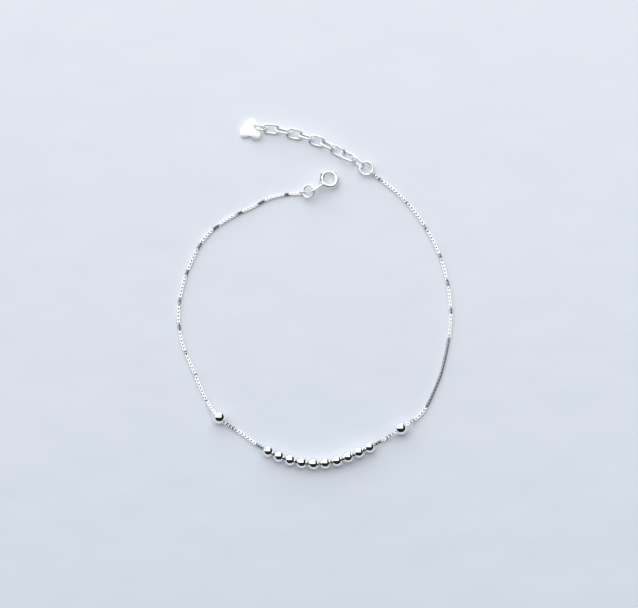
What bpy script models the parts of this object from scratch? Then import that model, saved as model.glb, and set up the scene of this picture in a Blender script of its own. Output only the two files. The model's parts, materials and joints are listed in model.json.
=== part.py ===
"""Silver ankle bracelet of fine box chain, laid open on a flat surface.

Ten round beads slide in a row on the chain between two stopper beads. One end of the chain
holds a spring-ring clasp, the other an extender of oval links that ends in a heart tag.
Lengths are in metres, the surface is z = 0, and the origin is the middle of the footprint.
"""

import math

import bmesh
import bpy
import numpy as np
from mathutils import Matrix, Vector
from mathutils.geometry import interpolate_bezier

mm = 0.001
up = Vector((0, 0, 1))

# Chain
chain_width = 0.75 * mm
chain_step = 3.3 * mm  # longest straight run of the tube that stands for the links
chain_fall = 4.0 * mm  # length over which the chain comes down from a bead to the surface
fall_steps = 3

# Middle of the chain from its clasp end to its extender end, seen from above
chain_route = [
    (-4.0, 25.9), (-6.4, 25.8), (-10.9, 24.9), (-16.0, 22.3), (-22.3, 19.1), (-27.7, 14.5),
    (-31.2, 8.0), (-33.5, 1.0), (-34.3, -6.2), (-33.1, -13.2), (-30.3, -20.0), (-27.6, -26.2),
    (-23.8, -32.1), (-18.2, -35.8), (-11.8, -40.4), (-6.2, -42.7), (-0.4, -43.7), (5.4, -43.0),
    (11.1, -40.8), (16.4, -38.0), (21.7, -34.7), (27.0, -30.5), (30.9, -22.7), (32.6, -17.1),
    (33.9, -10.4), (34.3, -4.2), (33.5, 2.8), (31.8, 9.3), (29.0, 15.6), (25.3, 21.3),
    (20.9, 26.2), (15.4, 30.6),
]

# Beads, threaded on the chain
bead_diameter = 2.9 * mm
bead_count = 10
bead_gap = 0.06 * mm
bead_row_station = 105.5 * mm  # middle of the row, along the chain from its clasp end
stopper_diameter = 3.2 * mm
left_stopper_distance = 28.3 * mm  # from the middle of the row
right_stopper_distance = 22.5 * mm
bore_clearance = 0.2 * mm  # round the chain

# Rings
ring_gap = 0.08 * mm  # between a ring and what hooks into it, pulled taut
end_link_diameter = 1.9 * mm
end_link_wire = 0.4 * mm
end_link_roll = math.radians(75)
clasp_jump_ring_diameter = 3.8 * mm
clasp_jump_ring_wire = 0.65 * mm
clasp_jump_ring_heading = math.radians(9)
clasp_jump_ring_tilt = math.radians(28)
extender_ring_diameter = 4.0 * mm
extender_ring_wire = 0.7 * mm
extender_ring_hook = math.radians(150)  # where round it the first extender link hangs

# Extender links
link_length = 4.5 * mm
link_width = 3.0 * mm
link_wire = 0.6 * mm
link_slack = 0.3 * mm  # how far the chain of links could still be pulled out at each link
extender_ring_play = 0.32 * mm  # between the extender's ring and its first link

# One row for each extender link, from the ring to the tag: heading and roll, in degrees
extender_links = [
    (137, -72),
    (155, 30),
    (150, -45),
    (150, 50),
    (162, -28),
    (161, 58),
    (167, -32),
    (166, 55),
    (172, -40),
]

# Heart tag
tag_ring_diameter = 3.2 * mm
tag_ring_wire = 0.5 * mm
tag_ring_heading = math.radians(175)
tag_ring_roll = math.radians(52)
heart_width = 5.25 * mm
heart_height = 5.15 * mm
heart_thickness = 0.45 * mm
heart_heading = math.radians(80)  # from the notch to the tip
heart_fall = math.radians(212)  # from the hole down to where the heart meets the surface
tag_hole_diameter = 1.1 * mm

# The heart's outline as shares of its width and height: point, handle before, handle after
heart_outline = [
    ((0.00, 0.50), (-0.15, 0.50), (0.15, 0.50)),
    ((0.50, -0.24), (0.50, 0.10), (0.50, -0.40)),
    ((0.31, -0.50), (0.42, -0.50), (0.20, -0.50)),
    ((0.00, -0.36), (0.08, -0.42), (-0.08, -0.42)),
    ((-0.31, -0.50), (-0.20, -0.50), (-0.42, -0.50)),
    ((-0.50, -0.24), (-0.50, -0.40), (-0.50, 0.10)),
]
tag_hole_place = (0.24, 0.10)  # in the same shares

# Spring-ring clasp. Its angles run round the ring from the eyelet, which is at 0
clasp_diameter = 5.0 * mm
clasp_tube = 1.15 * mm
clasp_bore = 0.8 * mm
clasp_heading = math.radians(39)  # from the eyelet to the ring
clasp_gap_angle = math.radians(-124)
clasp_gap = 1.5 * mm
eyelet_length = 4.1 * mm
eyelet_width = 2.4 * mm
eyelet_wire = 0.65 * mm
eyelet_roll = math.radians(72)
eyelet_play = 0.2 * mm  # between the eyelet and the jump ring
solder_depth = 0.3 * mm
bolt_clearance = 0.1 * mm
bolt_entry = 0.15 * mm  # how far the closed bolt reaches into the far side of the gap
trigger_angle = math.radians(-69)
trigger_lean = math.radians(45)  # outwards from the ring's axis
trigger_tail = 1.0 * mm  # bolt behind the trigger
trigger_travel = math.radians(45)
trigger_post = 0.26 * mm
trigger_knob = 0.6 * mm
trigger_height = 0.35 * mm

# Sides of the round shapes
bead_sides = 14
ring_segments = 18
wire_sides = 6
tube_segment = math.radians(12)

chain_radius = chain_width / 2
bead_bore = chain_width + 2 * bore_clearance
bead_pitch = bead_diameter + bead_gap
link_pitch = link_length - 2 * link_wire - link_slack
clasp_radius = (clasp_diameter - clasp_tube) / 2
bolt_diameter = clasp_bore - 2 * bolt_clearance

parts = bpy.data.collections.new("ankle_bracelet")
cutters = bpy.data.collections.new("cutters")


def clear_scene():
    for obj in list(bpy.data.objects):
        bpy.data.objects.remove(obj, do_unlink=True)
    for collection in (parts, cutters):
        bpy.context.scene.collection.children.link(collection)


def silver(name, colour, roughness):
    material = bpy.data.materials.new(name)
    material.use_nodes = True
    shader = material.node_tree.nodes["Principled BSDF"]
    shader.inputs["Base Color"].default_value = (*colour, 1)
    shader.inputs["Metallic"].default_value = 1
    shader.inputs["Roughness"].default_value = roughness
    return material


def place(obj, name, material, matrix):
    """Names a new piece, gives it its finish and its place, and shades it smooth."""
    obj.name = name
    obj.data.name = name
    for collection in list(obj.users_collection):
        collection.objects.unlink(obj)
    parts.objects.link(obj)
    obj.data.materials.clear()
    obj.data.materials.append(material)
    obj.matrix_world = matrix
    if obj.type == "MESH":
        obj.data.shade_smooth()
    return obj


def make_cutter(obj):
    """Hides a helper that cuts or joins another piece."""
    for collection in list(obj.users_collection):
        collection.objects.unlink(obj)
    cutters.objects.link(obj)
    obj.hide_render = True
    obj.display_type = "WIRE"
    return obj


def apply_boolean(target, operation, other):
    modifier = target.modifiers.new(operation.lower(), "BOOLEAN")
    modifier.operation = operation
    modifier.solver = "EXACT"
    modifier.object = make_cutter(other)


def heading_vector(angle, rise=0.0):
    """A unit vector that points along a heading seen from above, and up by the rise."""
    flat = math.cos(rise)
    return Vector((flat * math.cos(angle), flat * math.sin(angle), math.sin(rise)))


def rolled_frame(centre, along, roll):
    """A frame with X along a direction and Y to its left, turned up about it by the roll."""
    along = along.normalized()
    left = up.cross(along).normalized()
    above = along.cross(left)
    across = left * math.cos(roll) + above * math.sin(roll)
    axes = Matrix((along, across, along.cross(across))).transposed()
    return Matrix.Translation(centre) @ axes.to_4x4()


def standing_height(width, wire, roll):
    """Height of the middle of a ring or link that leans at this roll on the surface."""
    return (width - wire) / 2 * abs(math.sin(roll)) + wire / 2


def wire_curve(points, diameter, resolution, cyclic):
    """A wire through the points, as a curve with a round bevel."""
    data = bpy.data.curves.new("wire", "CURVE")
    data.dimensions = "3D"
    data.bevel_depth = diameter / 2
    data.bevel_resolution = resolution
    data.use_fill_caps = not cyclic
    spline = data.splines.new("POLY")
    spline.points.add(len(points) - 1)
    for point, place_of_point in zip(spline.points, points):
        point.co = (*place_of_point, 1)
    spline.use_cyclic_u = cyclic
    obj = bpy.data.objects.new("wire", data)
    parts.objects.link(obj)
    return obj


def as_mesh(curve):
    """The curve's shape as a mesh object with welded caps, for a Boolean."""
    graph = bpy.context.evaluated_depsgraph_get()
    data = bpy.data.meshes.new_from_object(curve.evaluated_get(graph))
    shape = bmesh.new()
    shape.from_mesh(data)
    bmesh.ops.remove_doubles(shape, verts=shape.verts, dist=0.001 * mm)
    bmesh.ops.recalc_face_normals(shape, faces=shape.faces)
    shape.to_mesh(data)
    shape.free()
    obj = bpy.data.objects.new("shape", data)
    parts.objects.link(obj)
    obj.matrix_world = curve.matrix_world
    bpy.data.objects.remove(curve, do_unlink=True)
    return obj


def torus(radius, wire, segments, sides):
    bpy.ops.mesh.primitive_torus_add(
        major_radius=radius, minor_radius=wire / 2, major_segments=segments, minor_segments=sides
    )
    return bpy.context.object


def cylinder(radius, bottom, top, sides):
    bpy.ops.mesh.primitive_cylinder_add(
        radius=radius, depth=top - bottom, vertices=sides, location=(0, 0, (top + bottom) / 2)
    )
    bpy.context.view_layer.update()
    return bpy.context.object


def round_ring(name, diameter, wire, material, matrix):
    return place(torus((diameter - wire) / 2, wire, ring_segments, wire_sides), name, material, matrix)


def oval_wire(length, width, wire):
    """A wire bent to an oval: two half circles joined by straight runs along X."""
    radius = (width - wire) / 2
    straight = (length - width) / 2
    half = ring_segments // 2
    points = []
    for side in (1, -1):
        for step in range(half + 1):
            angle = math.pi * (step / half - 0.5)
            points.append((side * (straight + radius * math.cos(angle)), side * radius * math.sin(angle), 0))
    return wire_curve(points, wire, 1, True)


def arc_tube(radius, height, start, end, diameter, resolution):
    """A round bar bent along a circle about Z."""
    steps = max(2, math.ceil((end - start) / tube_segment))
    angles = [start + (end - start) * step / steps for step in range(steps + 1)]
    points = [(radius * math.cos(angle), radius * math.sin(angle), height) for angle in angles]
    return as_mesh(wire_curve(points, diameter, resolution, False))


def smooth_curve(points, steps=24):
    """Many points along a smooth curve that passes through each of the given ones."""
    first = 2 * points[0] - points[1]
    last = 2 * points[-1] - points[-2]
    through = [first, *points, last]
    curve = []
    for before, start, end, after in zip(through, through[1:], through[2:], through[3:]):
        for t in np.arange(steps) / steps:
            bend = (2 * before - 5 * start + 4 * end - after) * t**2
            twist = (3 * start - before - 3 * end + after) * t**3
            curve.append((2 * start + (end - before) * t + bend + twist) / 2)
    curve.append(points[-1])
    return np.array(curve)


def raised_runs():
    """Middle, half length and height of each stretch of chain that beads hold up."""
    left = bead_row_station - left_stopper_distance
    right = bead_row_station + right_stopper_distance
    stopper = stopper_diameter / 2
    row_half = bead_count * bead_pitch / 2
    return [(left, stopper, stopper), (bead_row_station, row_half, bead_diameter / 2), (right, stopper, stopper)]


def chain_height(station):
    """Height of the chain's middle, which lies on the surface except at the beads."""
    height = chain_radius
    for middle, half, raised in raised_runs():
        share = 1 - (abs(station - middle) - half) / chain_fall
        share = min(1, max(0, share))
        blend = share * share * (3 - 2 * share)
        height = max(height, chain_radius + (raised - chain_radius) * blend)
    return height


def chain_stations(length):
    """Distances along the chain of the tube's points, closer together on its slopes."""
    marks = {0.0, length}
    for middle, half, _ in raised_runs():
        marks |= {middle - half - chain_fall, middle - half, middle + half, middle + half + chain_fall}
    marks = sorted(marks)
    stations = [0.0]
    for start, end in zip(marks, marks[1:]):
        slopes = abs(chain_height(start) - chain_height(end)) > 0.01 * mm
        steps = fall_steps if slopes else math.ceil((end - start) / chain_step)
        stations += [start + (end - start) * step / steps for step in range(1, steps + 1)]
    return np.array(stations)


def chain_path():
    """(stations, points): the chain's middle line, and how far along it each point is."""
    plan = smooth_curve(np.array(chain_route) * mm)
    runs = np.linalg.norm(np.diff(plan, axis=0), axis=1)
    travelled = np.concatenate([[0], np.cumsum(runs)])
    stations = chain_stations(travelled[-1])
    x = np.interp(stations, travelled, plan[:, 0])
    y = np.interp(stations, travelled, plan[:, 1])
    z = [chain_height(station) for station in stations]
    return stations, np.column_stack([x, y, z])


def point_at(stations, points, station):
    return Vector([np.interp(station, stations, points[:, axis]) for axis in range(3)])


def direction_at(stations, points, station, half_span):
    """The chain's direction across a span about this station."""
    ahead = point_at(stations, points, station + half_span)
    return (ahead - point_at(stations, points, station - half_span)).normalized()


def turned_bead(name, diameter, material, matrix):
    """A round bead with a bore along Z for the chain."""
    radius = diameter / 2
    bore = bead_bore / 2
    steps = bead_sides // 2
    edge = math.asin(bore / radius)
    angles = [edge + (math.pi - 2 * edge) * step / steps for step in range(steps + 1)]
    data = bpy.data.meshes.new(name)
    profile = bmesh.new()
    rim = [profile.verts.new((radius * math.sin(a), 0, radius * math.cos(a))) for a in angles]
    for start, end in zip(rim, rim[1:] + rim[:1]):
        profile.edges.new((start, end))
    profile.to_mesh(data)
    profile.free()
    obj = bpy.data.objects.new(name, data)
    screw = obj.modifiers.new("turned", "SCREW")
    screw.axis = "Z"
    screw.steps = screw.render_steps = bead_sides
    screw.use_smooth_shade = True
    return place(obj, name, material, matrix)


def make_chain_and_beads(chain_finish, bead_finish):
    stations, points = chain_path()
    place(wire_curve(points, chain_width, 2, False), "chain", chain_finish, Matrix())
    beads = [
        (f"bead_{i + 1:02d}", bead_diameter, bead_row_station + (i - (bead_count - 1) / 2) * bead_pitch)
        for i in range(bead_count)
    ]
    beads.append(("stopper_bead_left", stopper_diameter, bead_row_station - left_stopper_distance))
    beads.append(("stopper_bead_right", stopper_diameter, bead_row_station + right_stopper_distance))
    for name, diameter, station in beads:
        along = direction_at(stations, points, station, diameter / 2)
        turn = along.to_track_quat("Z", "Y").to_matrix().to_4x4()
        turned_bead(name, diameter, bead_finish, Matrix.Translation(point_at(stations, points, station)) @ turn)
    return points


def make_end_link(name, end, outward, material):
    """The small link at an end of the chain. Returns the middle of its hole."""
    flat = Vector((outward.x, outward.y, 0)).normalized()
    centre = Vector(end) + flat * (ring_gap + end_link_diameter / 2)
    centre.z = standing_height(end_link_diameter, end_link_wire, end_link_roll)
    round_ring(name, end_link_diameter, end_link_wire, material, rolled_frame(centre, flat, end_link_roll))
    return centre


def hooked(centre, along, hole, wire):
    """Middle of a wire that is pulled to the far end of a hole."""
    return centre + along * (hole / 2 - wire / 2 - ring_gap)


def make_clasp_jump_ring(end_link_centre, outward, material):
    """The ring between the chain and the clasp. Returns its raised far side."""
    flat = Vector((outward.x, outward.y, 0)).normalized()
    hole = end_link_diameter - 2 * end_link_wire
    near = hooked(end_link_centre, flat, hole, clasp_jump_ring_wire)
    along = heading_vector(clasp_jump_ring_heading, clasp_jump_ring_tilt)
    radius = (clasp_jump_ring_diameter - clasp_jump_ring_wire) / 2
    matrix = rolled_frame(near + along * radius, along, 0)
    round_ring("clasp_jump_ring", clasp_jump_ring_diameter, clasp_jump_ring_wire, material, matrix)
    return near + along * 2 * radius


def clasp_frame(held):
    """Frame of the clasp: Z is its ring's axis, and X points from the ring to the eyelet.

    The eyelet hangs on the jump ring at the point held, and the far side of the ring rests
    on the surface.
    """
    eyelet_hole = eyelet_length - 2 * eyelet_wire
    eyelet_reach = eyelet_hole / 2 - clasp_jump_ring_wire / 2 - eyelet_play
    reach = eyelet_reach + eyelet_middle()
    rise = math.asin((held.z - clasp_tube / 2) / (clasp_radius + reach))
    along = heading_vector(clasp_heading + math.pi, rise)
    return rolled_frame(held - along * reach, along, 0)


def eyelet_middle():
    """Distance from the middle of the clasp's ring to the middle of its eyelet."""
    return clasp_diameter / 2 + eyelet_length / 2 - solder_depth


def make_clasp_ring(frame, material):
    """A hollow ring with a gap, a slot for the trigger, and the eyelet soldered on."""
    half_gap = clasp_gap / clasp_radius / 2
    start = clasp_gap_angle + half_gap
    end = clasp_gap_angle - half_gap + 2 * math.pi
    ring = arc_tube(clasp_radius, 0, start, end, clasp_tube, 3)
    eyelet = as_mesh(oval_wire(eyelet_length, eyelet_width, eyelet_wire))
    eyelet.matrix_world = rolled_frame(Vector((eyelet_middle(), 0, 0)), Vector((1, 0, 0)), eyelet_roll)
    bore = torus(clasp_radius, clasp_bore, round(2 * math.pi / tube_segment), 10)
    slot_width = trigger_post + 2 * bolt_clearance
    slot_margin = slot_width / 2 / clasp_radius
    wall_middle = (clasp_tube + clasp_bore) / 4
    slot = arc_tube(
        clasp_radius + wall_middle * math.sin(trigger_lean),
        wall_middle * math.cos(trigger_lean),
        trigger_angle - slot_margin,
        trigger_angle + trigger_travel + slot_margin,
        slot_width,
        2,
    )
    for helper in (eyelet, bore, slot):
        helper.matrix_world = frame @ helper.matrix_world
    place(ring, "clasp_ring", material, frame)
    apply_boolean(ring, "UNION", eyelet)
    apply_boolean(ring, "DIFFERENCE", bore)
    apply_boolean(ring, "DIFFERENCE", slot)


def make_clasp_bolt(frame, material):
    """The curved bolt that closes the gap, with its trigger, turning about the ring's axis."""
    half_gap = clasp_gap / clasp_radius / 2
    tip = clasp_gap_angle - half_gap - bolt_entry / clasp_radius
    tail = trigger_angle + trigger_tail / clasp_radius
    bolt = arc_tube(clasp_radius, 0, tip, tail, bolt_diameter, 2)
    knob_bottom = clasp_tube / 2 + bolt_clearance
    knob_top = knob_bottom + trigger_height
    post = cylinder(trigger_post / 2, 0, knob_top - trigger_height / 2, 8)
    knob = cylinder(trigger_knob / 2, knob_bottom, knob_top, 10)
    at_ring = Matrix.Rotation(trigger_angle, 4, "Z") @ Matrix.Translation((clasp_radius, 0, 0))
    at_trigger = frame @ at_ring @ Matrix.Rotation(trigger_lean, 4, "Y")
    for helper in (post, knob):
        helper.matrix_world = at_trigger @ helper.matrix_world
    place(bolt, "clasp_bolt", material, frame)
    apply_boolean(bolt, "UNION", post)
    apply_boolean(bolt, "UNION", knob)


def make_extender_ring(end_link_centre, outward, material):
    """The ring between the chain and the extender. Returns where the first link hangs."""
    flat = Vector((outward.x, outward.y, 0)).normalized()
    hole = end_link_diameter - 2 * end_link_wire
    near = hooked(end_link_centre, flat, hole, extender_ring_wire)
    radius = (extender_ring_diameter - extender_ring_wire) / 2
    far_height = link_wire + extender_ring_wire / 2 + 2 * ring_gap
    along = heading_vector(math.atan2(flat.y, flat.x), math.asin((far_height - near.z) / (2 * radius)))
    matrix = rolled_frame(near + along * radius, along, 0)
    round_ring("extender_ring", extender_ring_diameter, extender_ring_wire, material, matrix)
    return matrix @ (radius * heading_vector(extender_ring_hook - math.atan2(flat.y, flat.x)))


def make_extender(hung, material):
    """The oval links, each through the next. Returns where the tag's ring meets the last."""
    first = heading_vector(math.radians(extender_links[0][0]))
    inner_half = link_length / 2 - link_wire
    centre = hung + first * (inner_half - extender_ring_wire / 2 - extender_ring_play)
    joint = centre - first * link_pitch / 2
    for number, (heading, roll) in enumerate(extender_links, 1):
        along = heading_vector(math.radians(heading))
        centre = joint + along * link_pitch / 2
        centre.z = standing_height(link_width, link_wire, math.radians(roll))
        link = oval_wire(link_length, link_width, link_wire)
        place(link, f"extender_link_{number}", material, rolled_frame(centre, along, math.radians(roll)))
        joint += along * link_pitch
    return joint


def make_tag_ring(joint, material):
    """The ring between the last link and the heart. Returns its far side."""
    radius = (tag_ring_diameter - tag_ring_wire) / 2
    along = heading_vector(tag_ring_heading)
    last_link_end = (link_length - link_wire - link_pitch) / 2
    hook = (link_wire + tag_ring_wire) / 2 + link_slack
    centre = joint + along * (radius - hook + last_link_end)
    centre.z = standing_height(tag_ring_diameter, tag_ring_wire, tag_ring_roll)
    round_ring("tag_ring", tag_ring_diameter, tag_ring_wire, material, rolled_frame(centre, along, tag_ring_roll))
    return centre + along * radius


def heart_point(share):
    """A point of the heart from its shares, measured from the middle of the hole."""
    hole_x, hole_y = tag_hole_place
    return Vector(((share[0] - hole_x) * heart_width, (share[1] - hole_y) * heart_height, 0))


def heart_edge():
    """Points along the heart's outline."""
    edge = []
    for row, following in zip(heart_outline, heart_outline[1:] + heart_outline[:1]):
        corners = [heart_point(share) for share in (row[0], row[2], following[1], following[0])]
        edge += interpolate_bezier(*corners, 12)
    return edge


def heart_curve():
    data = bpy.data.curves.new("heart", "CURVE")
    data.dimensions = "2D"
    data.fill_mode = "BOTH"
    data.extrude = heart_thickness / 2
    data.resolution_u = 6
    outline = data.splines.new("BEZIER")
    outline.bezier_points.add(len(heart_outline) - 1)
    outline.use_cyclic_u = True
    for point, (place_of_point, before, after) in zip(outline.bezier_points, heart_outline):
        point.handle_left_type = point.handle_right_type = "FREE"
        point.co = heart_point(place_of_point)
        point.handle_left = heart_point(before)
        point.handle_right = heart_point(after)
    hole = data.splines.new("POLY")
    hole.points.add(ring_segments - 1)
    hole.use_cyclic_u = True
    for number, point in enumerate(hole.points):
        edge = tag_hole_diameter / 2 * heading_vector(2 * math.pi * number / ring_segments)
        point.co = (*edge, 1)
    return bpy.data.objects.new("heart_tag", data)


def make_heart_tag(hung, material):
    """The heart, hung on its ring by the hole, with its far lobe on the surface."""
    fall = heart_fall - heart_heading + math.pi / 2
    down = heading_vector(fall)
    reach = max(point.dot(down) for point in heart_edge())
    slope = math.asin((hung.z - heart_thickness / 2) / reach)
    across = Vector((-down.y, down.x, 0))
    tip_over = Matrix.Rotation(slope, 4, across)
    turn = Matrix.Rotation(heart_heading - math.pi / 2, 4, up)
    heart = heart_curve()
    parts.objects.link(heart)
    place(heart, "heart_tag", material, Matrix.Translation(hung) @ turn @ tip_over)


def main():
    clear_scene()
    chain_finish = silver("chain_silver", (0.80, 0.79, 0.77), 0.25)
    bead_finish = silver("bead_silver", (0.93, 0.93, 0.94), 0.06)
    clasp_finish = silver("clasp_silver", (0.90, 0.90, 0.91), 0.12)
    link_finish = silver("link_silver", (0.88, 0.89, 0.90), 0.15)
    tag_finish = silver("tag_silver", (0.95, 0.95, 0.95), 0.10)

    points = make_chain_and_beads(chain_finish, bead_finish)
    start_out = Vector(points[0] - points[1])
    end_out = Vector(points[-1] - points[-2])

    clasp_link = make_end_link("end_link_clasp", points[0], start_out, link_finish)
    held = make_clasp_jump_ring(clasp_link, start_out, link_finish)
    frame = clasp_frame(held)
    make_clasp_ring(frame, clasp_finish)
    make_clasp_bolt(frame, clasp_finish)

    extender_end = make_end_link("end_link_extender", points[-1], end_out, link_finish)
    hung = make_extender_ring(extender_end, end_out, link_finish)
    joint = make_extender(hung, link_finish)
    far_side = make_tag_ring(joint, link_finish)
    make_heart_tag(far_side, tag_finish)


main()
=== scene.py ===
# %% [markdown]
# # A silver ankle bracelet laid open on pale cloth
#
# The bracelet is a fine box chain with a row of polished beads, a spring-ring clasp and a short
# extender that ends in a heart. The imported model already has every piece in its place, so this
# lesson dresses it: each solid gets a finer surface that keeps its form, and a silver finish.
# Everything that is placed below reads its place from that model.

# %% Load the model
import json
import math

import bmesh
import bpy
import numpy as np
from mathutils import Matrix, Vector


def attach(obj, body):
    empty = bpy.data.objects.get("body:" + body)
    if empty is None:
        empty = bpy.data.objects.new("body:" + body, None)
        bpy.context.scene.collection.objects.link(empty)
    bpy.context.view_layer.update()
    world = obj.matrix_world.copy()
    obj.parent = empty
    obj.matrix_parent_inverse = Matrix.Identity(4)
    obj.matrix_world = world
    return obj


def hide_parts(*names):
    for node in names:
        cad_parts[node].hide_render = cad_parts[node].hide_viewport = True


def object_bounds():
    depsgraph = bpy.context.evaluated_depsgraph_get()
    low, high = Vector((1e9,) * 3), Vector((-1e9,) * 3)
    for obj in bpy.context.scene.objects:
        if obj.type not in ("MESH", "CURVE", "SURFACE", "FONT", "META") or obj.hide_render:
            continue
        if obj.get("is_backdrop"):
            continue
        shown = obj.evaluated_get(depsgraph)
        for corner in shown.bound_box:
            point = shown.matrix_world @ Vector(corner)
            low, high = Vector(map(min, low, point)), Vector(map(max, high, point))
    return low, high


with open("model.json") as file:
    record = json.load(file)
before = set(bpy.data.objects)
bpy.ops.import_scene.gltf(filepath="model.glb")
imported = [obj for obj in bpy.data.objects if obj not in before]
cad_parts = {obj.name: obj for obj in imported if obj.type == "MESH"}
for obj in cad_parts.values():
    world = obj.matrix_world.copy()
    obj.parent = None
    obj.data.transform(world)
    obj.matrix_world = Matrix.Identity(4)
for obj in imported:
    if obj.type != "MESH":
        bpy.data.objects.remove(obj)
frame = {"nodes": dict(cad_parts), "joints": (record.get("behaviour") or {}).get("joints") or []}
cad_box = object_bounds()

mm = 0.001
up = Vector((0, 0, 1))
print("solids to dress:", len(frame["nodes"]))

# %% [markdown]
# ## The camera
#
# The picture looks almost straight down, from a little in front of the beads. A long lens keeps
# the loop free of perspective. Its distance follows from how much of the surface the picture
# shows, so that one named scale decides the size of the bracelet in the picture.

# %% Camera
picture_width = 638
picture_scale = 0.252 * mm  # of the surface for each pixel
camera_elevation = math.radians(78)
camera_aim = Vector((1.16 * mm, -2.56 * mm, 0))
camera_lens = 250
camera_sensor = 36

towards_camera = Vector((0, -math.cos(camera_elevation), math.sin(camera_elevation)))
camera_distance = camera_lens / camera_sensor * picture_width * picture_scale
camera_data = bpy.data.cameras.new("camera")
camera_data.lens = camera_lens
camera_data.sensor_width = camera_sensor
camera = bpy.data.objects.new("camera", camera_data)
camera.location = camera_aim + towards_camera * camera_distance
camera.rotation_euler = (math.pi / 2 - camera_elevation, 0, 0)
bpy.context.scene.collection.objects.link(camera)
bpy.context.scene.camera = camera
bpy.context.scene.view_settings.view_transform = "Standard"
print("camera distance, mm:", round(camera_distance / mm))

# %% [markdown]
# ## Node trees written as Python
#
# Silver shows the room more than itself, so the finishes here are mostly arithmetic on noise
# and on directions. One small class wraps a number in a node tree and lets Python's own
# operators add the Math nodes.


# %% Numbers
class Number:
    """A number in a node tree. Adding or multiplying it adds the node that does so."""

    def __init__(self, recipe, socket):
        self.recipe = recipe
        self.socket = socket

    def maths(self, operation, first, second):
        settings = {"operation": operation}
        return self.recipe.number("ShaderNodeMath", "Value", settings, {0: first, 1: second})

    def __add__(self, other):
        return self.maths("ADD", self, other)

    def __radd__(self, other):
        return self.maths("ADD", other, self)

    def __sub__(self, other):
        return self.maths("SUBTRACT", self, other)

    def __rsub__(self, other):
        return self.maths("SUBTRACT", other, self)

    def __mul__(self, other):
        return self.maths("MULTIPLY", self, other)

    def __mod__(self, other):
        return self.maths("MODULO", self, other)

    def smaller(self, other):
        return self.maths("MINIMUM", self, other)

    def larger(self, other):
        return self.maths("MAXIMUM", self, other)


print("arithmetic in node trees is written with", Number.__name__)

# %% [markdown]
# ## Recipes
#
# Every other node is added by one class, from its type, its settings and what goes into its
# inputs, whether that is a plain value or the output of an earlier node. The same class serves
# the finishes, the room and the tree that lays out the chain, so each reads like a recipe.


# %% Recipes
def named(sockets, name):
    """The socket in use with this name, or at this place in the list."""
    if isinstance(name, int):
        return sockets[name]
    return next(socket for socket in sockets if socket.name == name and socket.enabled)


class Recipe:
    """A node tree, written one node at a time."""

    def __init__(self, tree):
        self.tree = tree

    def add(self, kind, settings=None, sockets=None):
        node = self.tree.nodes.new(kind)
        for name, value in (settings or {}).items():
            setattr(node, name, value)
        for name, value in (sockets or {}).items():
            self.feed(named(node.inputs, name), value)
        return node

    def feed(self, socket, value):
        if isinstance(value, Number):
            value = value.socket
        if isinstance(value, bpy.types.NodeSocket):
            self.tree.links.new(value, socket)
        else:
            socket.default_value = value

    def output(self, kind, name, settings=None, sockets=None):
        return named(self.add(kind, settings, sockets).outputs, name)

    def number(self, kind, name, settings=None, sockets=None):
        return Number(self, self.output(kind, name, settings, sockets))

    def noise(self, place, grains, detail):
        """Noise from 0 to 1, with about this many grains in each metre."""
        sockets = {"Vector": place, "Scale": grains, "Detail": detail}
        return self.number("ShaderNodeTexNoise", "Fac", None, sockets)

    def mix_colours(self, share, first, second):
        colours = {"Factor": share, "A": first, "B": second}
        return self.output("ShaderNodeMix", "Result", {"data_type": "RGBA"}, colours)


print("other nodes are added by", Recipe.__name__)

# %% [markdown]
# ## The room
#
# Polished silver is a picture of the room it lies in. Each bead shows a white window above its
# middle, a black crescent below it and up its right side, and the pale cloth round its rim. So
# the room is painted as a bead would mirror it. Halfway between a direction in the room and the
# direction of the viewer lies the spot of a bead that shows it. The two axes and the viewer are
# fixed numbers, so that the room stays where it is when the bracelet is looked at from another
# side.

# %% What a bead mirrors
mirror_right = Vector((1, 0, 0))
mirror_up = Vector((0, math.sin(camera_elevation), math.cos(camera_elevation)))


def spot_on_bead(recipe, direction):
    """How far right and how far up a bead mirrors this direction."""
    kind = "ShaderNodeVectorMath"
    both = {0: direction, 1: towards_camera}
    between = recipe.output(kind, "Vector", {"operation": "ADD"}, both)
    spot = recipe.output(kind, "Vector", {"operation": "NORMALIZE"}, {0: between})
    return [
        recipe.number(kind, "Value", {"operation": "DOT_PRODUCT"}, {0: spot, 1: axis})
        for axis in (mirror_right, mirror_up)
    ]


print("up on a bead is", [round(x, 2) for x in mirror_up])

# %% [markdown]
# ## Window and dark
#
# With places on a bead, the window and the dark are easy to draw. The window is everything above
# its lower edge and left of its right one, and its pane is brighter. The dark is the rest, as
# far as two edges of its own. Near the horizon the pale walls are back, all round.

# %% Room
window_right_edge = 0.31  # all edges are places on a bead of radius 1
window_lower_edge = 0.05
window_left_edge = -0.50
dark_left_edge = -0.68
dark_lower_edge = -0.59
edge_softness = 0.06
horizon_glow = (0.0, 0.10)  # rise above the horizon over which the pale walls fade to dark
window_light = 1.85
wall_light = 1.15
dark_light = 0.02
room_tint = (0.96, 0.98, 1, 1)


def rising(recipe, value, low, high):
    """0 below the low value, 1 above the high one."""
    smooth = {"interpolation_type": "SMOOTHSTEP"}
    limits = {"Value": value, "From Min": low, "From Max": high}
    return recipe.number("ShaderNodeMapRange", "Result", smooth, limits)


def past(recipe, value, edge):
    """0 on the near side of an edge, 1 on the far side."""
    return rising(recipe, value, edge - edge_softness, edge + edge_softness)


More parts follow.
